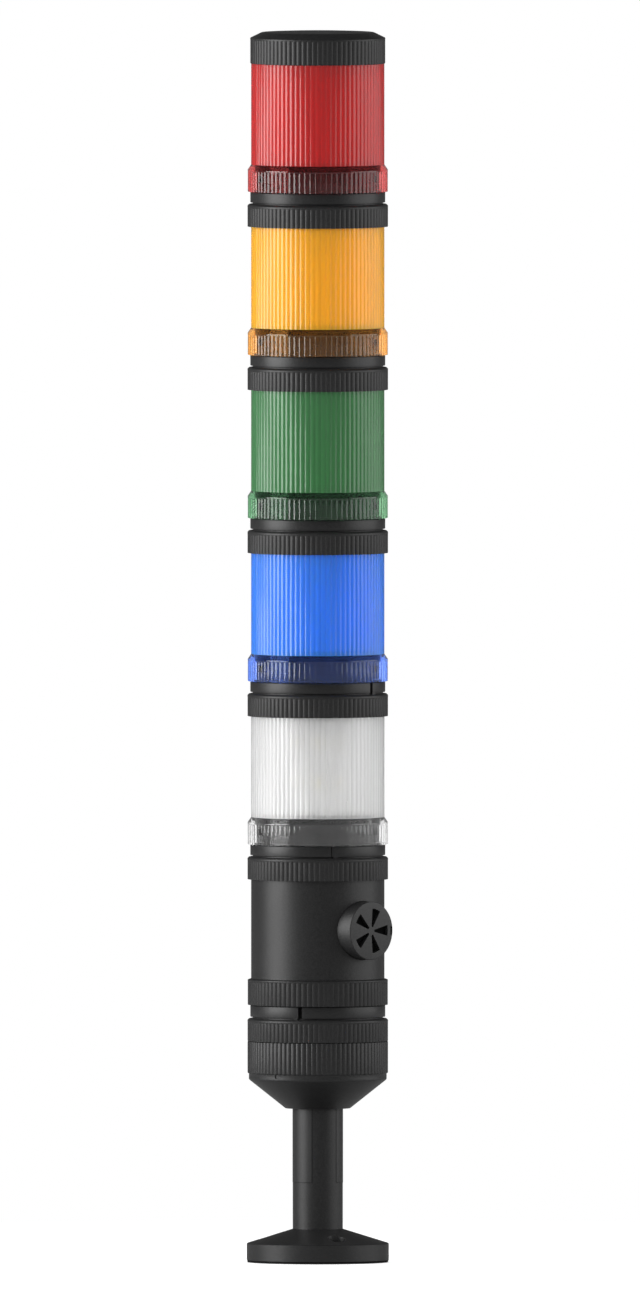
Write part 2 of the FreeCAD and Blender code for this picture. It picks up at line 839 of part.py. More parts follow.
def main():
    os.makedirs("parts", exist_ok=True)
    save("foot_gasket", make_gasket())
    save("stand", make_stand())
    save("lower_shell", make_lower_shell())
    save("tube_nut", make_tube_nut())
    save("shell_seal", ring(*seal_groove_radii(), shell_top - shell_seal_height, shell_top))

    terminal_height = shell_top + joint_gap
    save_terminals(terminal_height)
    height = save_head("terminal", terminal_height, terminal_collar_height)

    ring_at = save_sounder(height)
    height = save_head("sounder", ring_at, collar_height)

    roof = lens_height + collar_low + collar_height + drum_height - drum_plate
    for colour in stacked_lamps:
        save(colour + "_lens", make_lens(colour), height)
        save_inside(colour, height, roof)
        height = save_head(colour, height + lens_height, collar_height)

    save(top_lamp + "_lens", make_lens(top_lamp), height)
    save_inside(top_lamp, height, lens_height + cap_edge_height - cap_wall)
    save("cap", make_cap(), height + lens_height)
    save("cap_seal", ring(*cap_seal_radii(), 0.0, cap_seal_height), height + lens_height)


main()
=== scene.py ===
import json
import math

import bmesh
import bpy
import numpy as np
from mathutils import Matrix, Vector


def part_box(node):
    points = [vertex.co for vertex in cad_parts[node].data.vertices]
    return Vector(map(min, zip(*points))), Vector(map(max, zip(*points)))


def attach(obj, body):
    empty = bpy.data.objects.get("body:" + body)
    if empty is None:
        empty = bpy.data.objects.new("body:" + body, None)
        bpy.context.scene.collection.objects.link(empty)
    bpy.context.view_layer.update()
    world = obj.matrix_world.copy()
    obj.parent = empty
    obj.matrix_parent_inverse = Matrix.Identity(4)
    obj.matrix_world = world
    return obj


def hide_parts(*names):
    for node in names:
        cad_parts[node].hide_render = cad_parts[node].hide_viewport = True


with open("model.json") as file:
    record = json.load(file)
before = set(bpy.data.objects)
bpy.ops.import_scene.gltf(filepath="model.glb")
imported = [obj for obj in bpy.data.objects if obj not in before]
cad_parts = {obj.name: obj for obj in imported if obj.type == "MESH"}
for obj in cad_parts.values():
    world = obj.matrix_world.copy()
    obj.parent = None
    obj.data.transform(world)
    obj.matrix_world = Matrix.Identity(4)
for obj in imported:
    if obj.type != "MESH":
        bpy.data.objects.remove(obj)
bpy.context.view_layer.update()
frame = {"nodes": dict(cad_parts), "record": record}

# Looks of the signal tower: moulded shells with rounded grip ribs, tinted lenses with upright
# flutes, satin black plastics, and a plain studio. Outlines are in millimetres from each unit's
# own lower edge, azimuths in degrees from the front (-Y) towards the right (+X).

MM = 0.001

# --- Sizes, in millimetres ------------------------------------------------------------------------

MODULE_RADIUS = 33.0
SKIRT_RADIUS = 34.7
RING_RADIUS = 34.8
RING_BORE_RADIUS = 33.1
DRUM_RADIUS = 31.1
SPIGOT_BORE_RADIUS = 31.5
HEAD_BORE_RADIUS = 27.5
COLLAR_RADIUS = 33.4
COLLAR_BORE_RADIUS = 31.2
SLIT_RADIUS = 32.2
LEDGE_BORE_RADIUS = 28.4
REBATE_RADIUS = 32.9
EDGE = 0.25                     # usual rounding of a moulded edge
LIP_EDGE = 0.06                 # rounding where two rims meet
ROW_GAP = 0.04                  # half of the height over which a surface steps in or out
RIB_SETBACK = 0.04
RIB_DEPTH = 0.36
RIB_RUNOUT = 0.7                # length over which a rib fades into the plain rim
RUNOUT_SHARES = (1.0, 0.45, 0.15, 0.0)

RING_HEIGHT = 11.2
RING_RIB_HEIGHT = 9.6
RING_CHAMFER = 0.8
RING_SEAT_DEPTH = 6.0
SLIT_HEIGHT = 0.8
COLLAR_LOW = RING_HEIGHT + SLIT_HEIGHT
COLLAR_HEIGHT = 5.0
TERMINAL_COLLAR_HEIGHT = 5.6
DRUM_HEIGHT = 13.0
DRUM_PLATE = 2.0
SPIGOT_HEIGHT = 9.0
SPLIT_WIDTH = 2.0
SPLIT_WIDTHS = {"sounder": 0.5}
COLLAR_COLUMNS = 241
STOP_WIDTH = 2.2
STOP_OFFSET = 3.7               # degrees from the split
STOP_INSET = 0.1                # from the collar's face

JOINT_GAP = 0.3
TAB_RISE = 5.0
TAB_HEIGHT = 3.0
TAB_SPAN = 14.0
TAB_INNER_RADIUS = 29.9
TAB_AZIMUTHS = (60.0, 180.0, 300.0)
TWIST = 24.0
GROOVE_GAP = 0.4
GROOVE_END_GAP = 1.0
GROOVE_FLOOR_RADIUS = 29.5
OVERRUN = 1.0                   # how far a cut runs past what it cuts

SKIRT_HEIGHT = 13.4
SKIRT_RIB_HEIGHT = 10.4
SKIRT_RIM_HEIGHT = 0.5
LENS_HEIGHT = 63.5
LENS_BORE_RADIUS = 30.9
FLUTE_DEPTH = 0.35
FLUTE_ROUNDNESS = 1.0
HOUSING_HEIGHT = 62.2
HOUSING_BORE_RADIUS = 30.4
HOUSING_RIB_HEIGHT = 11.9
HOUSING_SKIRT_HEIGHT = 12.5
HOUSING_SHOULDER = 0.6
LEDGE_LOW = 13.3
LEDGE_TOP = 14.9
SEAL_HEIGHT = 1.3
MARK_HALF_WIDTH = 0.4
MARK_HEIGHT = 8.0
MARK_STEP = 0.12
MARK_RISE = 0.8
MARK_ROWS = (-0.4, -0.15, 0.15, 0.4)    # round the ends of a mark

PORT_AZIMUTH = 43.0
PORT_RISE = 37.5
PORT_HOLE_RADIUS = 14.7
PORT_RADIUS = 14.45
PORT_BORE_RADIUS = 12.85
PORT_REACH = 38.9
PORT_BACK = 24.4
PORT_FACE = 2.0
PORT_FLANGE_RADIUS = 16.05
PORT_FLANGE_HEIGHT = 1.2
PORT_SLOTS = 5
PORT_SLOT_INNER = 2.1
PORT_SLOT_OUTER = 11.1
PORT_SLOT_HALF_ANGLE = 14.0
PORT_SLOT_TURNS = (-1.0, -0.5, 0.0, 0.5, 1.0)   # points on a slot's outer arc
PORT_EDGE = 0.45
PORT_EDGE_STEPS = 4
PORT_COLUMNS = 144
PORT_DRAIN_NEAR = 12.95
PORT_DRAIN_FAR = 14.25
PORT_DRAIN_HALF_WIDTH = 2.2
PORT_DRAIN_DEPTH = 1.2

SHELL_MOUTH_RADIUS = 16.0
SHELL_CONE_RADIUS = 33.4
SHELL_CONE_RISE = 13.8
SHELL_BAND_RADIUS = 34.1
SHELL_BAND_HEIGHT = 3.6
SHELL_HEIGHT = 33.1
SOCKET_BORE_RADIUS = 12.6
SOCKET_RADIUS = 15.4
SOCKET_HEIGHT = 21.9
CAVITY_FLOOR = 2.9
CAVITY_EDGE = 15.7
NOTCH_AZIMUTH = -37.0
NOTCH_WIDTH = 1.4
NOTCH_HEIGHT = 1.8
NOTCH_DEPTH = 0.5
SHELL_RIB_FOOT = ((0.1, 0.12), (0.0, 0.6))  # inset and rise of the rows at the ribs' foot
TUBE_RADIUS = 12.4
GUIDE_SIDES = (-13.0, 47.0)     # azimuths of the open sector's edges
GUIDE_START = 39.5
GUIDE_LINE_WIDTH = 0.5
GUIDE_FOOT_SHADE = 0.5          # of the line across the guide's foot, against the upright ones; its black is painted shade
GUIDE_DEPTH = 3.0               # of the lines' bump dent, against the grain's

CAP_RADIUS = 33.45
CAP_RIB_HEIGHT = 12.0
CAP_RIM_HEIGHT = 0.7
CAP_EDGE_RADIUS = 27.9
CAP_EDGE_HEIGHT = 15.4
CAP_FLAT_RADIUS = 20.5
CAP_RISE = 0.3
CAP_WALL = 2.6
CAP_PLUG_DEPTH = 5.0
CAP_PLUG_RADIUS = 30.8
CAP_PLUG_WALL = 2.0

RING_RIBS = 84
HOUSING_RIBS = 79
LENS_RIBS = 78
CAP_RIBS = 80

SPLIT_AZIMUTHS = {
    "terminal": -15.3, "sounder": 12.0, "clear": 52.7,
    "blue": 165.0, "green": 165.0, "amber": 165.0,
}
RING_PHASES = {
    "terminal": 0.35, "sounder": 0.9, "clear": 0.5,
    "blue": -1.9, "green": -1.9, "amber": -1.9,
}
MARK_AZIMUTHS = {"clear": 25.9, "blue": 155.0, "green": 155.0, "amber": 155.0, "red": 155.0}
HOUSING_MARKS = (               # azimuth and lower end of each
    (8.8, HOUSING_SKIRT_HEIGHT + MARK_RISE),
    (1.0, HOUSING_HEIGHT - MARK_RISE - MARK_HEIGHT),
)
SHELL_RIB_PHASE = -1.2
LENS_RIB_PHASE = -2.0
HOUSING_RIB_PHASE = 0.0
CAP_RIB_PHASE = -0.5

# Places of a rib's columns, as shares of its pitch from one groove to the next
RIB_SAMPLES = (0.0, 0.07, 0.22, 0.5, 0.78, 0.93)
RIB_ROUNDNESS = 0.75            # the lower, the flatter the crest and the narrower the groove

SHARP_ANGLE = 38.0              # degrees: edges that bend more are shaded sharp
STRAIGHT_ANGLE = 168.0          # degrees: corners flatter than this aren't rounded
CORNER_SHARE = 0.42             # the most of a side that a corner's rounding takes
NEAR = 0.02                     # surfaces this close count as the same


# --- Mesh helpers ---------------------------------------------------------------------------------

def soften(outline, edge=EDGE, steps=2, closed=True):
    """Rounds the corners of an outline of (radius, height) points; points on the axis stay sharp.

    A third number gives a corner its own rounding.
    """
    points = [Vector(point[:2]) for point in outline]
    count = len(points)
    softened = []
    for number, point in enumerate(points):
        ends = not closed and number in (0, count - 1)
        before = points[number - 1] - point
        after = points[(number + 1) % count] - point
        if ends or point.x == 0.0 or before.angle(after) > math.radians(STRAIGHT_ANGLE):
            softened.append((point.x, point.y))
            continue
        own = outline[number][2] if len(outline[number]) > 2 else edge
        cut = min(own, before.length * CORNER_SHARE, after.length * CORNER_SHARE)
        start = point + before.normalized() * cut
        end = point + after.normalized() * cut
        for step in range(steps + 1):
            share = step / steps
            blend = start * (1 - share) ** 2 + point * 2 * share * (1 - share) + end * share ** 2
            softened.append((blend.x, blend.y))
    return softened


def rib_columns(count, phase, extra=()):
    """Azimuths of a ribbed piece's columns, with a few more where a feature's edge lies."""
    pitch = 360.0 / count
    columns = [
        phase + (number + sample) * pitch for number in range(count) for sample in RIB_SAMPLES
    ]
    columns += [phase + (azimuth - phase) % 360.0 for azimuth in extra]
    columns.sort()
    kept = [columns[0]]
    for azimuth in columns[1:]:
        if azimuth - kept[-1] > NEAR:
            kept.append(azimuth)
    return np.array(kept)


def valley(azimuths, count, phase, roundness=RIB_ROUNDNESS):
    """How deep each azimuth lies between the ribs: 1 in a groove, 0 on a crest."""
    share = (azimuths - phase) * count / 360.0
    return 1.0 - np.abs(np.sin(np.pi * share)) ** roundness


def rib_cut(azimuths, count, phase):
    """How deep grip ribs are cut at each azimuth."""
    return RIB_SETBACK + RIB_DEPTH * valley(azimuths, count, phase)


def rib_fade(heights, rib_top):
    """1 where ribs have their full depth, down to 0 where they run out below the rim."""
    return np.clip((rib_top - heights) / RIB_RUNOUT, 0.0, 1.0) ** 0.5


def runout_rows(radius, rib_top):
    """Rows of an outline over which ribs run out."""
    return [(radius, rib_top - RIB_RUNOUT * share) for share in RUNOUT_SHARES]


def step_rows(radius, *levels, gap=ROW_GAP):
    """Pairs of rows close below and above levels where a surface steps."""
    return [(radius, level + side * gap) for level in levels for side in (-1, 1)]


def away(azimuths, azimuth):
    """Signed turn from one azimuth to others, within half a turn."""
    return (azimuths - azimuth + 180.0) % 360.0 - 180.0


def edge_columns(features, margin):
    """Columns at both edges of features, given as azimuth and half width, and just outside."""
    columns = []
    for azimuth, half in features:
        columns += [
            azimuth - half - margin, azimuth - half, azimuth + half, azimuth + half + margin,
        ]
    return columns


def half_turn(width, radius):
    """Half the angle, in degrees, that a width covers at a radius."""
    return math.degrees(width / 2 / radius)


def lathe(name, outline, columns, depths, whole=True, poles=False):
    """Mesh turned from an outline; depths(radius, height, azimuth) gives the surface's radius.

    whole closes the turn; poles means that the outline runs from the axis back to the axis.
    """
    radius = np.array([point[0] for point in outline])[:, None]
    height = np.array([point[1] for point in outline])[:, None]
    azimuth = np.asarray(columns)[None, :]
    turned = depths(radius + 0 * azimuth, height + 0 * azimuth, azimuth + 0 * radius)
    angle = np.radians(azimuth)
    grid = np.stack([turned * np.sin(angle), -turned * np.cos(angle), height + 0 * turned], axis=-1)
    rows, cols = turned.shape
    vertices = grid.reshape(-1, 3)
    row_steps = rows - 1 if poles else rows
    col_steps = cols if whole else cols - 1
    i, j = np.meshgrid(np.arange(row_steps), np.arange(col_steps), indexing="ij")
    after_i, after_j = (i + 1) % rows, (j + 1) % cols
    quads = np.stack(
        [i * cols + j, i * cols + after_j, after_i * cols + after_j, after_i * cols + j], axis=-1
    ).reshape(-1, 4)
    faces = []
    if poles:
        inner = (quads[:, 0] >= cols) & (quads[:, 2] < (rows - 1) * cols)
        first = quads[quads[:, 0] < cols]
        last = quads[quads[:, 2] >= (rows - 1) * cols]
        faces += [(0, int(quad[2]), int(quad[3])) for quad in first]
        top = (rows - 1) * cols
        faces += [(int(quad[0]), int(quad[1]), top) for quad in last]
        quads = quads[inner]
    faces += quads.tolist()
    if not whole:
        faces.append([int(row * cols) for row in range(rows)])
        faces.append([int(row * cols + cols - 1) for row in reversed(range(rows))])
    mesh = bpy.data.meshes.new(name)
    mesh.from_pydata((vertices * MM).tolist(), [], faces)
    mesh.update()
    return finished(name, mesh)


def finished(name, mesh):
    """Object from a mesh, cleaned of unused points and shaded smooth but for its sharp edges."""
    work = bmesh.new()
    work.from_mesh(mesh)
    unused = [vertex for vertex in work.verts if not vertex.link_faces]
    bmesh.ops.delete(work, geom=unused, context="VERTS")
    work.to_mesh(mesh)
    work.free()
    mesh.shade_smooth()
    mesh.set_sharp_from_angle(angle=math.radians(SHARP_ANGLE))
    made = bpy.data.objects.new(name, mesh)
    bpy.context.scene.collection.objects.link(made)
    return made


def cut_by(piece, outlines, low, high, frame_matrix):
    """Cuts upright prisms out of a piece; the outlines are in the frame's own plane, in mm."""
    work = bmesh.new()
    for outline in outlines:
        floor = [work.verts.new((x * MM, y * MM, low * MM)) for x, y in outline]
        top = [work.verts.new((x * MM, y * MM, high * MM)) for x, y in outline]
        work.faces.new(list(reversed(floor)))
        work.faces.new(top)
        for number in range(len(outline)):
            after = (number + 1) % len(outline)
            work.faces.new((floor[number], floor[after], top[after], top[number]))
    work.transform(frame_matrix)
    mesh = bpy.data.meshes.new("cutter")
    work.to_mesh(mesh)
    work.free()
    cutter = bpy.data.objects.new("cutter", mesh)
    bpy.context.scene.collection.objects.link(cutter)
    cut = piece.modifiers.new("cut", "BOOLEAN")
    cut.operation = "DIFFERENCE"
    cut.solver = "EXACT"
    cut.object = cutter
    evaluated = piece.evaluated_get(bpy.context.evaluated_depsgraph_get())
    result = bpy.data.meshes.new_from_object(evaluated)
    piece.modifiers.clear()
    piece.data = result
    bpy.data.objects.remove(cutter)
    result.shade_smooth()
    result.set_sharp_from_angle(angle=math.radians(SHARP_ANGLE))


def port_frame():
    """Frame of the sound port: x to its right, y up, z outward from the tower's axis."""
    turn = math.radians(PORT_AZIMUTH)
    right = Vector((math.cos(turn), math.sin(turn), 0.0))
    up = Vector((0.0, 0.0, 1.0))
    outward = Vector((math.sin(turn), -math.cos(turn), 0.0))
    turned = Matrix((right, up, outward)).transposed().to_4x4()
    return Matrix.Translation((0.0, 0.0, PORT_RISE * MM)) @ turned


def circle(radius, count=96):
    """Points of a circle, counter-clockwise."""
    turns = [2 * math.pi * number / count for number in range(count)]
    return [(radius * math.cos(turn), radius * math.sin(turn)) for turn in turns]


def placed(piece, height, body, slot, material, *nodes):
    """Puts a piece at its height in metres, on its body, in its finish, in place of its nodes."""
    piece.data.transform(Matrix.Translation((0.0, 0.0, height)))
    piece.data.materials.append(material)
    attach(piece, body)
    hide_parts(*nodes)
    return piece


def plain(radius, height, azimuth):
    """Leaves a turned surface as its outline has it."""
    return radius


# --- Materials ------------------------------------------------------------------------------------

BEVEL_RADIUS = 0.00035          # in metres, as all lengths in materials
BLACK_GRAIN = 0.00005
STREAK_RELIEF = 0.00004
PLAIN_GRAIN = 0.00003


class Nodes:
    """Small helper round one material's node tree."""

    def __init__(self, name):
        self.material = bpy.data.materials.new(name)
        self.material.use_nodes = True
        self.tree = self.material.node_tree
        self.shader = self.tree.nodes["Principled BSDF"]

    def new(self, kind, **settings):
        node = self.tree.nodes.new(kind)
        for key, value in settings.items():
            setattr(node, key, value)
        return node

    def link(self, output, input):
        self.tree.links.new(output, input)

    def noise(self, scale, detail=3.0, roughness=0.55, stretch=None):
        noise = self.new("ShaderNodeTexNoise")
        noise.inputs["Scale"].default_value = scale
        noise.inputs["Detail"].default_value = detail
        noise.inputs["Roughness"].default_value = roughness
        place = self.new("ShaderNodeTexCoord").outputs["Object"]
        if stretch:
            mapping = self.new("ShaderNodeMapping")
            mapping.inputs["Scale"].default_value = stretch
            self.link(place, mapping.inputs["Vector"])
            place = mapping.outputs["Vector"]
        self.link(place, noise.inputs["Vector"])
        return noise.outputs["Fac"]

    def ramp(self, factor, stops):
        ramp = self.new("ShaderNodeValToRGB")
        elements = ramp.color_ramp.elements
        while len(elements) < len(stops):
            elements.new(0.5)
        for element, (position, colour) in zip(elements, stops):
            element.position = position
            element.color = (*colour, 1.0)
        self.link(factor, ramp.inputs["Fac"])
        return ramp.outputs["Color"]

    def ranged(self, factor, low, high):
        ranged = self.new("ShaderNodeMapRange")
        ranged.inputs["To Min"].default_value = low
        ranged.inputs["To Max"].default_value = high
        self.link(factor, ranged.inputs["Value"])
        return ranged.outputs["Result"]

    def bumped(self, factor, strength, distance, normal=None):
        bump = self.new("ShaderNodeBump")
        bump.inputs["Strength"].default_value = strength
        bump.inputs["Distance"].default_value = distance
        self.link(factor, bump.inputs["Height"])
        if normal:
            self.link(normal, bump.inputs["Normal"])
        return bump.outputs["Normal"]

    def joined(self, first, operation, second):
        """One step of arithmetic on outputs or numbers."""
        step = self.new("ShaderNodeMath", operation=operation)
        for value, socket in zip((first, second), step.inputs):
            if isinstance(value, float):
                socket.default_value = value
            else:
                self.link(value, socket)
        return step.outputs[0]

    def near(self, value, middle, reach):
        """1 where a value lies within reach of the middle, 0 elsewhere."""
        off = self.joined(self.joined(value, "SUBTRACT", middle), "ABSOLUTE", 0.0)
        return self.joined(off, "LESS_THAN", reach)

    def edges(self):
        """Normals rounded at sharp edges."""
        bevel = self.new("ShaderNodeBevel", samples=4)
        bevel.inputs["Radius"].default_value = BEVEL_RADIUS
        return bevel.outputs["Normal"]

    def over(self, colour, mask, other):
        """A colour that gives way to another one where the mask is 1."""
        mix = self.new("ShaderNodeMix", data_type="RGBA")
        self.link(mask, mix.inputs["Factor"])
        self.link(colour, mix.inputs["A"])
        mix.inputs["B"].default_value = (*other, 1.0)
        return mix.outputs["Result"]


def guide_edge_shade(nodes):
    """Mask of fine lines along the edges of the tube's guide. They are dented by bump and painted
    black as painted shade.

    Upright ones run beside the open sector, and a fainter one crosses the guide's foot.
    """
    place = nodes.new("ShaderNodeTexCoord").outputs["Object"]
    axes = nodes.new("ShaderNodeSeparateXYZ")
    nodes.link(place, axes.inputs[0])
    height = axes.outputs["Z"]
    forward = nodes.joined(axes.outputs["Y"], "MULTIPLY", -1.0)
    azimuth = nodes.joined(axes.outputs["X"], "ARCTAN2", forward)
    above = nodes.joined(height, "GREATER_THAN", GUIDE_START * MM)
    first, last = (math.radians(side) for side in GUIDE_SIDES)
    reach = GUIDE_LINE_WIDTH / 2 / TUBE_RADIUS
    upright = nodes.joined(
        nodes.near(azimuth, first, reach), "MAXIMUM", nodes.near(azimuth, last, reach)
    )
    upright = nodes.joined(upright, "MULTIPLY", above)
    after_first = nodes.joined(azimuth, "GREATER_THAN", first)
    before_last = nodes.joined(azimuth, "LESS_THAN", last)
    outside = nodes.joined(1.0, "SUBTRACT", nodes.joined(after_first, "MULTIPLY", before_last))
    across = nodes.near(height, GUIDE_START * MM, GUIDE_LINE_WIDTH / 2 * MM)
    across = nodes.joined(nodes.joined(across, "MULTIPLY", outside), "MULTIPLY", GUIDE_FOOT_SHADE)
    return nodes.joined(upright, "MAXIMUM", across)


def moulded_black(name, tone=0.013, roughness=0.42, grain=0.7, guided=False):
    """Satin black moulded plastic with a fine spark-eroded grain, its colour lighter at sharp
    convex edges.

    guided is for the stand: its edges are rounded, and its tube has fine lines along the guide's
    edges, dented by bump and painted black as painted shade.
    """
    nodes = Nodes(name)
    shader = nodes.shader
    fine = nodes.noise(1500.0, 5.0, 0.75)
    mottle = nodes.noise(1500.0, 3.0)
    broad = nodes.noise(60.0, 4.0)
    low = (tone * 0.6, tone * 0.6, tone * 0.62)
    high = (tone * 1.4, tone * 1.4, tone * 1.42)
    colour = nodes.ramp(mottle, [(0.35, low), (0.65, high)])
    mask = nodes.new("ShaderNodeMapRange")
    mask.inputs["From Min"].default_value = 0.53
    mask.inputs["From Max"].default_value = 0.62
    mask.inputs["To Max"].default_value = 0.35
    nodes.link(nodes.new("ShaderNodeNewGeometry").outputs["Pointiness"], mask.inputs["Value"])
    colour = nodes.over(colour, mask.outputs["Result"], (tone * 2.2, tone * 2.2, tone * 2.25))
    rounded = None
    if guided:
        edge_shade = guide_edge_shade(nodes)
        # Painted shade: black along the guide's edge lines.
        colour = nodes.over(colour, edge_shade, (0.0, 0.0, 0.0))
        fine = nodes.joined(fine, "SUBTRACT", nodes.joined(edge_shade, "MULTIPLY", GUIDE_DEPTH))
        rounded = nodes.edges()
    nodes.link(colour, shader.inputs["Base Color"])
    roughened = nodes.ranged(broad, roughness - 0.04, roughness + 0.05)
    nodes.link(roughened, shader.inputs["Roughness"])
    nodes.link(nodes.bumped(fine, grain, BLACK_GRAIN, rounded), shader.inputs["Normal"])
    shader.inputs["Specular IOR Level"].default_value = 0.48
    shader.inputs["IOR"].default_value = 1.5
    return nodes.material


def tinted(name, colour, transmission, roughness, ior, gloss):
    """Tinted polycarbonate with faint flow streaks under a glossy skin."""
    nodes = Nodes(name)
    shader = nodes.shader
    streaks = nodes.noise(240.0, 2.0, 0.5, (1.0, 1.0, 0.04))
    broad = nodes.noise(40.0, 3.0)
    deep = tuple(channel * 0.93 for channel in colour)
    nodes.link(nodes.ramp(streaks, [(0.38, deep), (0.62, colour)]), shader.inputs["Base Color"])
    roughened = nodes.ranged(broad, roughness * 0.9, roughness * 1.1)
    nodes.link(roughened, shader.inputs["Roughness"])
    nodes.link(nodes.bumped(streaks, 0.05, STREAK_RELIEF), shader.inputs["Normal"])
    shader.inputs["Transmission Weight"].default_value = transmission
    shader.inputs["IOR"].default_value = ior
    shader.inputs["Coat Weight"].default_value = gloss
    shader.inputs["Coat Roughness"].default_value = 0.10
    shader.inputs["Coat IOR"].default_value = 1.55
    return nodes.material


def milky(name, colour, transmission=0.6):
    """Wall of a lens: lets light through and blurs what stands behind."""
    return tinted(name, colour, transmission, roughness=0.5, ior=1.25, gloss=0.9)


def glassy(name, colour):
    """Skirt of a lens: the dark drum shows through it."""
    return tinted(name, colour, transmission=1.0, roughness=0.08, ior=1.07, gloss=1.0)


def simple(name, colour, roughness, metallic=0.0, glint=0.5):
    """Plain plastic, rubber or metal with slight mottling and grain."""
    nodes = Nodes(name)
    shader = nodes.shader
    broad = nodes.noise(120.0, 4.0)
    fine = nodes.noise(3600.0, 2.0)
    low = tuple(channel * 0.9 for channel in colour)
    high = tuple(min(1.0, channel * 1.08) for channel in colour)
    nodes.link(nodes.ramp(broad, [(0.35, low), (0.65, high)]), shader.inputs["Base Color"])
    roughened = nodes.ranged(broad, roughness - 0.05, roughness + 0.06)
    nodes.link(roughened, shader.inputs["Roughness"])
    nodes.link(nodes.bumped(fine, 0.2, PLAIN_GRAIN, nodes.edges()), shader.inputs["Normal"])
    shader.inputs["Metallic"].default_value = metallic
    shader.inputs["Specular IOR Level"].default_value = glint
    return nodes.material


MATERIALS = {
    "head_plastic": moulded_black("ring_black"),
    "collar_plastic": moulded_black("collar_black", 0.011, 0.40, 0.5),
    "housing_plastic": moulded_black("housing_black", 0.011, 0.42),
    "stand_plastic": moulded_black("stand_black", 0.011, 0.42, guided=True),
    "cap_plastic": moulded_black("cap_black", 0.012, 0.42),
    "port_plastic": moulded_black("port_black", 0.014, 0.45),
    "inner_plastic": simple("inner_white", (0.82, 0.82, 0.81), 0.5),
    "nut_plastic": simple("nut_black", (0.03, 0.03, 0.03), 0.5),
    "seal_rubber": simple("seal_rubber", (0.006, 0.006, 0.006), 0.8, glint=0.15),
    "membrane": simple("membrane", (0.003, 0.003, 0.003), 0.95, glint=0.05),
    "capsule_metal": simple("capsule_metal", (0.55, 0.55, 0.56), 0.35, 1.0),
    "board": simple("board_green", (0.04, 0.2, 0.09), 0.45),
    "contact_brass": simple("contact_brass", (0.75, 0.56, 0.27), 0.3, 1.0),
    "core_plastic": simple("core_white", (0.84, 0.84, 0.83), 0.5),
    "led_face": simple("led_face", (0.9, 0.82, 0.45), 0.3),
    "terminal_plastic": simple("terminal_grey", (0.58, 0.6, 0.58), 0.45),
    "screw_steel": simple("screw_steel", (0.6, 0.6, 0.6), 0.32, 1.0),
    "red_lens": milky("red_wall", (0.66, 0.012, 0.012)),
    "amber_lens": milky("amber_wall", (1.0, 0.56, 0.012)),
    "green_lens": milky("green_wall", (0.070, 0.30, 0.10)),
    "blue_lens": milky("blue_wall", (0.045, 0.32, 1.0)),
    "clear_lens": milky("clear_wall", (0.87, 0.87, 0.87), 0.7),
}

# Painted shade: each skirt is moulded in one with its lens wall, but it gets a darker, duller tint
# than the wall, so it reads darker over the drum.
SKIRTS_WITH_PAINTED_SHADE = {
    "red": glassy("red_skirt", (0.40, 0.05, 0.05)),
    "amber": glassy("amber_skirt", (0.62, 0.28, 0.06)),
    "green": glassy("green_skirt", (0.10, 0.26, 0.13)),
    "blue": glassy("blue_skirt", (0.10, 0.20, 0.66)),
    "clear": glassy("clear_skirt", (0.50, 0.50, 0.50)),
}

# Painted shade: the drum is moulded in one with the grip ring, but it gets a darker, duller black
# than the ring, because it sits in shade inside the lens skirt.
DRUM_PAINTED_SHADE_FINISH = simple("drum_black_painted_shade", (0.006, 0.006, 0.006), 0.7, glint=0.25)

for part in frame["record"]["subparts"]:
    for holder in frame["nodes"][part["node"]].material_slots:
        holder.material = MATERIALS[part["material_slot"]]


# --- Heads and collars ----------------------------------------------------------------------------

def grooves_between(low, high, mouth, hand):
    """J grooves as height bands with the azimuths they cover; hand is the way the unit turns."""
    half = TAB_SPAN / 2 + GROOVE_END_GAP
    bands = []
    for azimuth in TAB_AZIMUTHS:
        free = azimuth + hand * TWIST
        bands.append((low, high, min(azimuth, free) - half, max(azimuth, free) + half))
        bands.append((min(low, mouth), max(high, mouth), free - half, free + half))
    return bands


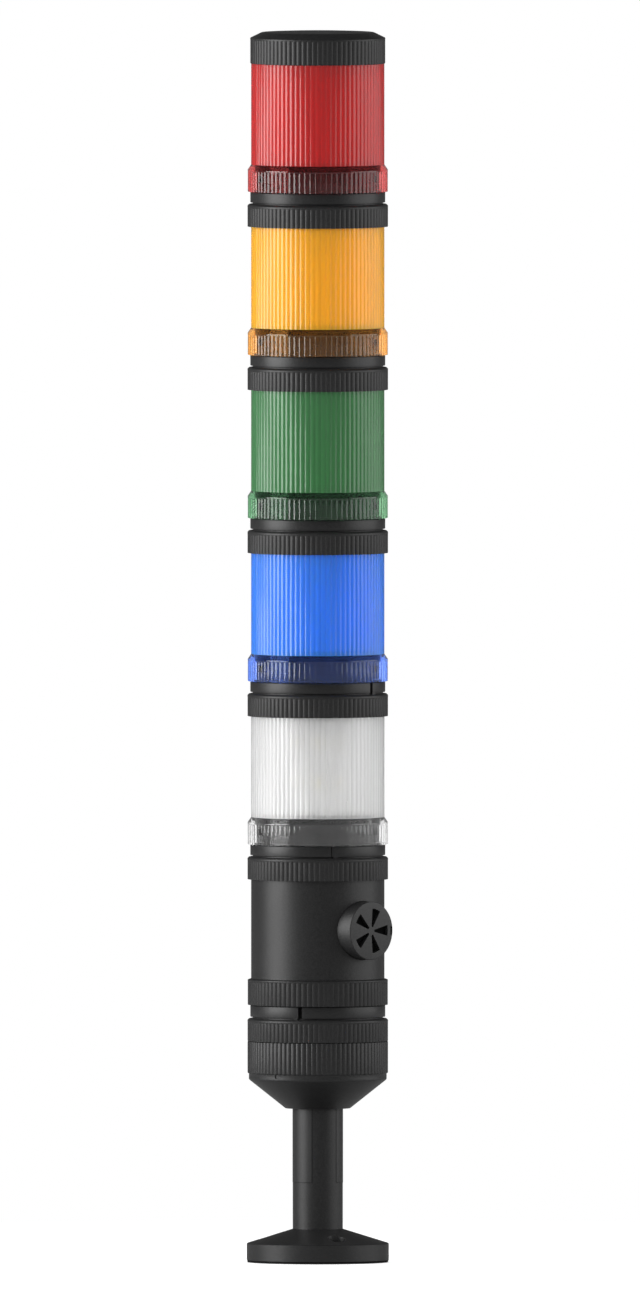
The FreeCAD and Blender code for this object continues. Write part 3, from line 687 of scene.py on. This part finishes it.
def make_head(unit, height, collar_rise, body):
    """Grip ring, shadow slit and grooved drum, in place of the unit's head."""
    collar_top = COLLAR_LOW + collar_rise
    drum_top = collar_top + DRUM_HEIGHT
    hollow_top = drum_top - DRUM_PLATE
    groove_low = collar_top + JOINT_GAP + TAB_RISE - GROOVE_GAP
    groove_high = groove_low + TAB_HEIGHT + 2 * GROOVE_GAP
    grooves = grooves_between(groove_low, groove_high, drum_top + OVERRUN, 1)
    if unit == "terminal":
        foot_high = -JOINT_GAP - TAB_RISE + GROOVE_GAP
        foot_low = foot_high - TAB_HEIGHT - 2 * GROOVE_GAP
        grooves += grooves_between(foot_low, foot_high, -SPIGOT_HEIGHT - OVERRUN, -1)
        bottom = [
            (HEAD_BORE_RADIUS, -SPIGOT_HEIGHT),
            (DRUM_RADIUS, -SPIGOT_HEIGHT),
            *step_rows(DRUM_RADIUS, foot_low, foot_high),
            (DRUM_RADIUS, 0.0),
        ]
    else:
        bottom = [
            (HEAD_BORE_RADIUS, RING_SEAT_DEPTH),
            (RING_BORE_RADIUS, RING_SEAT_DEPTH),
            (RING_BORE_RADIUS, 0.0),
        ]
    outline = [
        (0.0, hollow_top),
        (HEAD_BORE_RADIUS, hollow_top),
        *bottom,
        (RING_RADIUS, 0.0, LIP_EDGE),
        *runout_rows(RING_RADIUS, RING_RIB_HEIGHT),
        (RING_RADIUS, RING_HEIGHT - RING_CHAMFER),
        (RING_RADIUS - RING_CHAMFER, RING_HEIGHT),
        (SLIT_RADIUS, RING_HEIGHT),
        (SLIT_RADIUS, COLLAR_LOW),
        (DRUM_RADIUS, COLLAR_LOW),
        *step_rows(DRUM_RADIUS, groove_low, groove_high),
        (DRUM_RADIUS, drum_top),
        (0.0, drum_top),
    ]
    side = -1.0 if unit == "terminal" else 1.0
    stop_azimuth = SPLIT_AZIMUTHS[unit] + side * STOP_OFFSET
    stop_half = half_turn(STOP_WIDTH, COLLAR_RADIUS)
    phase = RING_PHASES[unit]

    def depths(radius, rise, azimuth):
        banded = (radius > RING_BORE_RADIUS + 0.6) & (rise < RING_RIB_HEIGHT)
        cut = rib_cut(azimuth, RING_RIBS, phase) * rib_fade(rise, RING_RIB_HEIGHT)
        out = np.where(banded, radius - cut, radius)
        on_drum = (radius > DRUM_RADIUS - 0.6) & (radius < DRUM_RADIUS + 0.05)
        for low, high, start, end in grooves:
            within = np.abs(away(azimuth, (start + end) / 2)) <= (end - start) / 2
            grooved = on_drum & (rise > low) & (rise < high) & within
            out = np.where(grooved, GROOVE_FLOOR_RADIUS, out)
        slit = (rise > RING_HEIGHT - 0.1) & (rise < COLLAR_LOW + 0.1)
        slit &= np.abs(radius - SLIT_RADIUS) < 0.3
        bridged = np.abs(away(azimuth, stop_azimuth)) <= stop_half
        return np.where(slit & bridged, COLLAR_RADIUS - STOP_INSET, out)

    features = [(stop_azimuth, stop_half)]
    features += [((start + end) / 2, (end - start) / 2) for _, _, start, end in grooves]
    columns = rib_columns(RING_RIBS, phase, edge_columns(features, 0.03))
    ring = lathe(unit + "_grip_ring", soften(outline, closed=False), columns, depths, poles=True)
    # Faces above the collar are the drum. They take the darker painted-shade black.
    for face in ring.data.polygons:
        face.material_index = 1 if face.center.z > COLLAR_LOW * MM else 0
    placed(ring, height, body, "head_plastic", MATERIALS["head_plastic"], unit + "_head")
    ring.data.materials.append(DRUM_PAINTED_SHADE_FINISH)
    return ring


def make_collar(unit, height, collar_rise, body):
    """Split locking collar, in place of the unit's collar."""
    outline = [
        (COLLAR_BORE_RADIUS, COLLAR_LOW),
        (COLLAR_RADIUS, COLLAR_LOW),
        (COLLAR_RADIUS, COLLAR_LOW + collar_rise),
        (COLLAR_BORE_RADIUS, COLLAR_LOW + collar_rise),
    ]
    half = half_turn(SPLIT_WIDTHS.get(unit, SPLIT_WIDTH), COLLAR_RADIUS)
    start = SPLIT_AZIMUTHS[unit] + half
    columns = np.linspace(start, start + 360.0 - 2 * half, COLLAR_COLUMNS)
    collar = lathe(unit + "_lock_collar", soften(outline), columns, plain, whole=False)
    slot = "collar_plastic"
    return placed(collar, height, body, slot, MATERIALS[slot], unit + "_collar")


# --- Module shells --------------------------------------------------------------------------------

def shell_outline(rib_height, rim_top, skirt_top, wall_top, bore_radius):
    """Closed outline of a module: skirt, rim, shoulder, wall, ledge, drum bore and rebate."""
    return [
        (SKIRT_RADIUS, 0.0),
        *runout_rows(SKIRT_RADIUS, rib_height),
        (SKIRT_RADIUS, rim_top),
        (MODULE_RADIUS, skirt_top),
        (MODULE_RADIUS, wall_top),
        (bore_radius, wall_top),
        (bore_radius, LEDGE_TOP),
        (LEDGE_BORE_RADIUS, LEDGE_TOP),
        (LEDGE_BORE_RADIUS, LEDGE_LOW),
        (SPIGOT_BORE_RADIUS, LEDGE_LOW),
        *reversed(step_rows(SPIGOT_BORE_RADIUS, TAB_RISE, TAB_RISE + TAB_HEIGHT)),
        (SPIGOT_BORE_RADIUS, SEAL_HEIGHT),
        (REBATE_RADIUS, SEAL_HEIGHT),
        (REBATE_RADIUS, 0.0),
    ]


def with_marks(outline, marks):
    """The outline with rows at the ends of the raised marks."""
    rows = []
    for point, after in zip(outline, outline[1:] + outline[:1]):
        rows.append(point)
        if point[0] == after[0] == MODULE_RADIUS:
            levels = []
            for _, low in marks:
                for end in (low, low + MARK_HEIGHT):
                    levels += [end + offset for offset in MARK_ROWS]
            rows += [(MODULE_RADIUS, level) for level in sorted(levels)]
    return rows


def with_tabs(out, radius, rise, azimuth, tab_low):
    """Surface with the bayonet tabs raised from the bore, inwards."""
    bore = np.abs(radius - SPIGOT_BORE_RADIUS) < 0.05
    rows = bore & (rise > tab_low) & (rise < tab_low + TAB_HEIGHT)
    for tab in TAB_AZIMUTHS:
        covered = np.abs(away(azimuth, tab)) <= TAB_SPAN / 2
        out = np.where(rows & covered, TAB_INNER_RADIUS, out)
    return out


def module_depths(ribs, phase, rib_height, marks, fluted):
    """Radius function of a module's shell: grip ribs, flutes, raised marks and bayonet tabs."""
    mark_half = math.degrees(MARK_HALF_WIDTH / MODULE_RADIUS)

    def depths(radius, rise, azimuth):
        banded = (radius > SPIGOT_BORE_RADIUS + 1.8) & (rise < rib_height)
        cut = rib_cut(azimuth, ribs, phase) * rib_fade(rise, rib_height)
        out = np.where(banded, radius - cut, radius)
        wall = np.abs(radius - MODULE_RADIUS) < NEAR
        if fluted:
            flutes = FLUTE_DEPTH * valley(azimuth, ribs, phase, FLUTE_ROUNDNESS)
            out = np.where(wall & (rise > SKIRT_HEIGHT), out - flutes, out)
        for mark_azimuth, low in marks:
            along = (rise > low) & (rise < low + MARK_HEIGHT)
            across = np.abs(away(azimuth, mark_azimuth)) <= mark_half
            out = np.where(wall & along & across, MODULE_RADIUS + MARK_STEP, out)
        return with_tabs(out, radius, rise, azimuth, TAB_RISE)

    return depths


def module_columns(ribs, phase, marks):
    """Columns of a module's shell, with the edges of its marks and tabs."""
    mark_half = math.degrees(MARK_HALF_WIDTH / MODULE_RADIUS)
    features = [(azimuth, mark_half) for azimuth, _ in marks]
    features += [(tab, TAB_SPAN / 2) for tab in TAB_AZIMUTHS]
    return rib_columns(ribs, phase, edge_columns(features, 0.1))


def make_lens(colour, height):
    """Tinted lens with a fluted wall and a ribbed skirt, in place of the unit's lens."""
    top = LENS_HEIGHT if colour == "red" else LENS_HEIGHT + RING_SEAT_DEPTH
    marks = [(MARK_AZIMUTHS[colour], SKIRT_HEIGHT + MARK_RISE)]
    rim_top = SKIRT_RIB_HEIGHT + SKIRT_RIM_HEIGHT
    outline = shell_outline(SKIRT_RIB_HEIGHT, rim_top, SKIRT_HEIGHT, top, LENS_BORE_RADIUS)
    outline = with_marks(outline, marks)
    depths = module_depths(LENS_RIBS, LENS_RIB_PHASE, SKIRT_RIB_HEIGHT, marks, fluted=True)
    columns = module_columns(LENS_RIBS, LENS_RIB_PHASE, marks)
    lens = lathe(colour + "_lens_moulding", soften(outline), columns, depths)
    # Skirt faces take their darker painted-shade tint, and wall faces take the wall's tint.
    for face in lens.data.polygons:
        face.material_index = 1 if face.center.z < SKIRT_HEIGHT * MM else 0
    slot = colour + "_lens"
    placed(lens, height, colour + "_unit", slot, MATERIALS[slot], colour + "_lens")
    lens.data.materials.append(SKIRTS_WITH_PAINTED_SHADE[colour])
    return lens


def make_housing(height):
    """Sounder housing with the hole for its port, in place of the CAD housing."""
    top = HOUSING_HEIGHT + RING_SEAT_DEPTH
    shoulder_top = HOUSING_SKIRT_HEIGHT + HOUSING_SHOULDER
    outline = shell_outline(
        HOUSING_RIB_HEIGHT, HOUSING_SKIRT_HEIGHT, shoulder_top, top, HOUSING_BORE_RADIUS
    )
    outline = with_marks(outline, HOUSING_MARKS)
    depths = module_depths(
        HOUSING_RIBS, HOUSING_RIB_PHASE, HOUSING_RIB_HEIGHT, HOUSING_MARKS, fluted=False
    )
    columns = module_columns(HOUSING_RIBS, HOUSING_RIB_PHASE, HOUSING_MARKS)
    housing = lathe("sounder_housing_moulding", soften(outline), columns, depths)
    cut_by(housing, [circle(PORT_HOLE_RADIUS)], MODULE_RADIUS / 2, MODULE_RADIUS * 2, port_frame())
    slot = "housing_plastic"
    return placed(housing, height, "sounder_unit", slot, MATERIALS[slot], "sounder_housing")


def make_port(height):
    """Round sound port with wedge slots and a small drain pocket, in place of the CAD port."""
    outline = [
        (0.0, PORT_REACH - PORT_FACE),
        (PORT_BORE_RADIUS, PORT_REACH - PORT_FACE),
        (PORT_BORE_RADIUS, PORT_BACK),
        (PORT_FLANGE_RADIUS, PORT_BACK),
        (PORT_FLANGE_RADIUS, PORT_BACK + PORT_FLANGE_HEIGHT),
        (PORT_RADIUS, PORT_BACK + PORT_FLANGE_HEIGHT),
        (PORT_RADIUS, PORT_REACH),
        (0.0, PORT_REACH),
    ]
    outline = soften(outline, PORT_EDGE, PORT_EDGE_STEPS, closed=False)
    columns = np.linspace(0.0, 360.0, PORT_COLUMNS, endpoint=False)
    port = lathe("sound_port_cup", outline, columns, plain, poles=True)
    slots = []
    for number in range(PORT_SLOTS):
        middle = number * 360.0 / PORT_SLOTS
        wedge = []
        for radius, turns in ((PORT_SLOT_OUTER, PORT_SLOT_TURNS), (PORT_SLOT_INNER, (1.0, -1.0))):
            for turn in turns:
                angle = math.radians(middle + turn * PORT_SLOT_HALF_ANGLE)
                wedge.append((radius * math.cos(angle), radius * math.sin(angle)))
        slots.append(wedge)
    front = PORT_REACH + OVERRUN
    cut_by(port, slots, PORT_REACH - PORT_FACE - OVERRUN, front, Matrix.Identity(4))
    drain = [
        (PORT_DRAIN_NEAR, -PORT_DRAIN_HALF_WIDTH),
        (PORT_DRAIN_FAR, -PORT_DRAIN_HALF_WIDTH),
        (PORT_DRAIN_FAR, PORT_DRAIN_HALF_WIDTH),
        (PORT_DRAIN_NEAR, PORT_DRAIN_HALF_WIDTH),
    ]
    cut_by(port, [drain], PORT_REACH - PORT_DRAIN_DEPTH, front, Matrix.Identity(4))
    port.data.transform(port_frame())
    slot = "port_plastic"
    return placed(port, height, "sounder_unit", slot, MATERIALS[slot], "sound_port")


# --- Lower shell and cap --------------------------------------------------------------------------

def make_lower_shell(height):
    """Cone-bottomed lower shell with grip ribs, in place of the CAD shell."""
    band_top = SHELL_CONE_RISE + SHELL_BAND_HEIGHT
    step = SHELL_BAND_RADIUS - SHELL_CONE_RADIUS
    tab_low = SHELL_HEIGHT - TAB_RISE - TAB_HEIGHT
    outline = [
        (SOCKET_BORE_RADIUS, 0.0),
        (SHELL_MOUTH_RADIUS, 0.0),
        (SHELL_CONE_RADIUS, SHELL_CONE_RISE),
        (SHELL_BAND_RADIUS, SHELL_CONE_RISE + step),
        *step_rows(SHELL_BAND_RADIUS, band_top - NOTCH_HEIGHT, gap=0.1),
        (SHELL_BAND_RADIUS, band_top),
        *[(RING_RADIUS - inset, band_top + rise) for inset, rise in SHELL_RIB_FOOT],
        (RING_RADIUS, SHELL_HEIGHT, LIP_EDGE),
        (SPIGOT_BORE_RADIUS, SHELL_HEIGHT),
        *reversed(step_rows(SPIGOT_BORE_RADIUS, tab_low, tab_low + TAB_HEIGHT)),
        (SPIGOT_BORE_RADIUS, CAVITY_EDGE),
        (SOCKET_RADIUS, CAVITY_FLOOR),
        (SOCKET_RADIUS, SOCKET_HEIGHT),
        (SOCKET_BORE_RADIUS, SOCKET_HEIGHT),
    ]
    notch_half = half_turn(NOTCH_WIDTH, SHELL_BAND_RADIUS)

    def depths(radius, rise, azimuth):
        banded = (radius > SHELL_BAND_RADIUS + 0.1) & (rise > band_top)
        out = np.where(banded, radius - rib_cut(azimuth, RING_RIBS, SHELL_RIB_PHASE), radius)
        notched = (rise > band_top - NOTCH_HEIGHT) & (rise <= band_top)
        notched &= np.abs(radius - SHELL_BAND_RADIUS) < NEAR
        notched &= np.abs(away(azimuth, NOTCH_AZIMUTH)) <= notch_half
        out = np.where(notched, radius - NOTCH_DEPTH, out)
        return with_tabs(out, radius, rise, azimuth, tab_low)

    features = [(NOTCH_AZIMUTH, notch_half)] + [(tab, TAB_SPAN / 2) for tab in TAB_AZIMUTHS]
    columns = rib_columns(RING_RIBS, SHELL_RIB_PHASE, edge_columns(features, 0.1))
    shell = lathe("lower_shell_moulding", soften(outline), columns, depths)
    slot = "head_plastic"
    return placed(shell, height, "base", slot, MATERIALS[slot], "lower_shell")


def make_cap(height):
    """Ribbed cap with a broad chamfer, in place of the CAD cap."""
    rim_top = CAP_RIB_HEIGHT + CAP_RIM_HEIGHT
    outline = [
        (0.0, CAP_EDGE_HEIGHT - CAP_WALL),
        (CAP_PLUG_RADIUS - CAP_PLUG_WALL, CAP_EDGE_HEIGHT - CAP_WALL),
        (CAP_PLUG_RADIUS - CAP_PLUG_WALL, -CAP_PLUG_DEPTH),
        (CAP_PLUG_RADIUS, -CAP_PLUG_DEPTH),
        (CAP_PLUG_RADIUS, 0.0),
        (CAP_RADIUS, 0.0),
        *runout_rows(CAP_RADIUS, CAP_RIB_HEIGHT),
        (CAP_RADIUS, rim_top),
        (CAP_EDGE_RADIUS, CAP_EDGE_HEIGHT),
        (CAP_FLAT_RADIUS, CAP_EDGE_HEIGHT + CAP_RISE),
        (0.0, CAP_EDGE_HEIGHT + CAP_RISE),
    ]

    def depths(radius, rise, azimuth):
        banded = (radius > CAP_PLUG_RADIUS + 1.0) & (rise < CAP_RIB_HEIGHT) & (rise >= 0.0)
        cut = rib_cut(azimuth, CAP_RIBS, CAP_RIB_PHASE) * rib_fade(rise, CAP_RIB_HEIGHT)
        return np.where(banded, radius - cut, radius)

    columns = rib_columns(CAP_RIBS, CAP_RIB_PHASE)
    cap = lathe("cap_moulding", soften(outline, closed=False), columns, depths, poles=True)
    slot = "cap_plastic"
    return placed(cap, height, "red_unit", slot, MATERIALS[slot], "cap")


# --- The tower ------------------------------------------------------------------------------------

def low(node):
    """Lowest height of a node, in metres."""
    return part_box(node)[0].z


make_lower_shell(low("lower_shell"))
terminal_height = low("terminal_head") + SPIGOT_HEIGHT * MM
make_head("terminal", terminal_height, TERMINAL_COLLAR_HEIGHT, "terminal_unit")
make_collar("terminal", terminal_height, TERMINAL_COLLAR_HEIGHT, "terminal_unit")
make_housing(low("sounder_housing"))
make_port(low("sounder_housing"))
for unit in ("sounder", "clear", "blue", "green", "amber"):
    make_head(unit, low(unit + "_head"), COLLAR_HEIGHT, unit + "_unit")
    make_collar(unit, low(unit + "_head"), COLLAR_HEIGHT, unit + "_unit")
for colour in ("clear", "blue", "green", "amber", "red"):
    make_lens(colour, low(colour + "_lens"))
make_cap(low("cap") + CAP_PLUG_DEPTH * MM)


# --- Floor, light and camera ----------------------------------------------------------------------

AMBIENT = 0.95                  # brightness of the surroundings as light, against a white of 1
THROUGH_GLOW = 2.25             # of the surroundings through the lenses
FRONT_GLOW = 0.20               # in reflections, in front of the tower
BACK_GLOW = 0.16                # behind it
TOP_GLOW = 0.04                 # and above it
FRONT_TO_BACK = (-0.1, 0.7)     # Y of the directions between which front turns into back
SIDE_TO_TOP = (0.15, 0.55)      # Z of those between which the sides turn into the top

FLOOR_RADIUS = 2.2
FLOOR_DROP = 0.0002             # below the tower
FLOOR_SHADES = (0.82, 0.84)
FLOOR_GLOW = 0.42               # what the floor adds to its own light where it is seen
FLOOR_FADE = (0.10, 0.60)       # distances between which it turns into the white backdrop
FLOOR_BOUNCE = 0.3              # how much light the floor gives back to the tower

VIEW_SPAN = 0.6395              # height of the view, in metres
VIEW_MIDDLE = (0.0011, 0.0, 0.305)
VIEW_ELEVATION = 2.0            # degrees
VIEW_DISTANCE = 1.5
LIGHT_TARGET = (0.0, 0.0, 0.3)


def grey(value):
    """Opaque grey, as a shader socket takes it."""
    return (value, value, value, 1.0)


def make_floor():
    """Round pale floor that takes the tower's shadow and fades into the backdrop."""
    bpy.ops.mesh.primitive_circle_add(vertices=96, radius=FLOOR_RADIUS, fill_type="NGON")
    floor = bpy.context.object
    floor.name = "studio_floor"
    floor.location.z = -FLOOR_DROP
    nodes = Nodes("studio_floor")
    shader = nodes.shader
    shader.inputs["Roughness"].default_value = 0.9
    shader.inputs["Specular IOR Level"].default_value = 0.1
    dark, light = ((shade, shade, shade) for shade in FLOOR_SHADES)
    grain = nodes.ramp(nodes.noise(300.0), [(0.3, dark), (0.7, light)])
    nodes.link(grain, shader.inputs["Base Color"])
    glow = nodes.new("ShaderNodeEmission")
    glow.inputs["Strength"].default_value = FLOOR_GLOW
    lit = nodes.new("ShaderNodeAddShader")
    nodes.link(shader.outputs[0], lit.inputs[0])
    nodes.link(glow.outputs[0], lit.inputs[1])

    distance = nodes.new("ShaderNodeVectorMath", operation="LENGTH")
    nodes.link(nodes.new("ShaderNodeTexCoord").outputs["Object"], distance.inputs[0])
    fade = nodes.new("ShaderNodeMapRange")
    fade.inputs["From Min"].default_value, fade.inputs["From Max"].default_value = FLOOR_FADE
    nodes.link(distance.outputs["Value"], fade.inputs["Value"])
    white = nodes.new("ShaderNodeEmission")
    seen = nodes.new("ShaderNodeMixShader")
    nodes.link(fade.outputs["Result"], seen.inputs["Fac"])
    nodes.link(lit.outputs[0], seen.inputs[1])
    nodes.link(white.outputs[0], seen.inputs[2])

    dull = nodes.new("ShaderNodeBsdfDiffuse")
    dull.inputs["Color"].default_value = grey(FLOOR_BOUNCE)
    final = nodes.new("ShaderNodeMixShader")
    path = nodes.new("ShaderNodeLightPath")
    nodes.link(path.outputs["Is Camera Ray"], final.inputs["Fac"])
    nodes.link(dull.outputs[0], final.inputs[1])
    nodes.link(seen.outputs[0], final.inputs[2])
    nodes.link(final.outputs[0], nodes.tree.nodes["Material Output"].inputs["Surface"])
    floor.data.materials.append(nodes.material)


def make_world():
    """Pale surroundings: white where seen, brighter through the lenses, dim in reflections."""
    world = bpy.data.worlds.new("studio")
    bpy.context.scene.world = world
    world.use_nodes = True
    tree = world.node_tree
    tree.nodes.clear()

    def mixed(factor, first, second):
        mix = tree.nodes.new("ShaderNodeMix")
        tree.links.new(factor, mix.inputs["Factor"])
        for value, socket in ((first, mix.inputs["A"]), (second, mix.inputs["B"])):
            if isinstance(value, float):
                socket.default_value = value
            else:
                tree.links.new(value, socket)
        return mix.outputs["Result"]

    def smoothed(value, ends, low=0.0, high=1.0):
        step = tree.nodes.new("ShaderNodeMapRange")
        step.interpolation_type = "SMOOTHSTEP"
        step.inputs["From Min"].default_value, step.inputs["From Max"].default_value = ends
        step.inputs["To Min"].default_value = low
        step.inputs["To Max"].default_value = high
        tree.links.new(value, step.inputs["Value"])
        return step.outputs["Result"]

    axes = tree.nodes.new("ShaderNodeSeparateXYZ")
    tree.links.new(tree.nodes.new("ShaderNodeTexCoord").outputs["Generated"], axes.inputs[0])
    around = smoothed(axes.outputs["Y"], FRONT_TO_BACK, FRONT_GLOW, BACK_GLOW)
    above = smoothed(axes.outputs["Z"], SIDE_TO_TOP)
    path = tree.nodes.new("ShaderNodeLightPath")
    level = mixed(path.outputs["Is Glossy Ray"], AMBIENT, mixed(above, around, TOP_GLOW))
    level = mixed(path.outputs["Is Transmission Ray"], level, THROUGH_GLOW)
    level = mixed(path.outputs["Is Camera Ray"], level, 1.0)
    glow = tree.nodes.new("ShaderNodeBackground")
    glow.inputs["Color"].default_value = grey(1.0)
    tree.links.new(level, glow.inputs["Strength"])
    output = tree.nodes.new("ShaderNodeOutputWorld")
    tree.links.new(glow.outputs[0], output.inputs["Surface"])


def softbox(name, azimuth, distance, height, width, tall, radiance):
    """Upright softbox that faces the tower; radiance is its brightness against a white of 1."""
    light = bpy.data.lights.new(name, "AREA")
    light.shape = "RECTANGLE"
    light.size = width
    light.size_y = tall
    light.energy = radiance * math.pi * width * tall
    lamp = bpy.data.objects.new(name, light)
    turn = math.radians(azimuth)
    place = Vector((math.sin(turn) * distance, -math.cos(turn) * distance, height))
    lamp.location = place
    lamp.rotation_euler = (Vector(LIGHT_TARGET) - place).to_track_quat("-Z", "Y").to_euler()
    bpy.context.scene.collection.objects.link(lamp)


def make_camera():
    """View without perspective, from slightly above level."""
    data = bpy.data.cameras.new("view")
    data.type = "ORTHO"
    data.ortho_scale = VIEW_SPAN
    data.clip_end = 20.0
    camera = bpy.data.objects.new("view", data)
    elevation = math.radians(VIEW_ELEVATION)
    back = Vector((0.0, -math.cos(elevation), math.sin(elevation)))
    camera.location = Vector(VIEW_MIDDLE) + back * VIEW_DISTANCE
    camera.rotation_euler = (-back).to_track_quat("-Z", "Y").to_euler()
    bpy.context.scene.collection.objects.link(camera)
    bpy.context.scene.camera = camera


make_floor()
make_world()
softbox(
    "left_softbox", azimuth=-74.0, distance=1.1, height=0.45, width=0.80, tall=1.3, radiance=5.2
)
softbox(
    "right_softbox", azimuth=86.0, distance=1.2, height=0.45, width=1.3, tall=1.2, radiance=1.5
)
make_camera()
bpy.context.scene.view_settings.view_transform = "Standard"
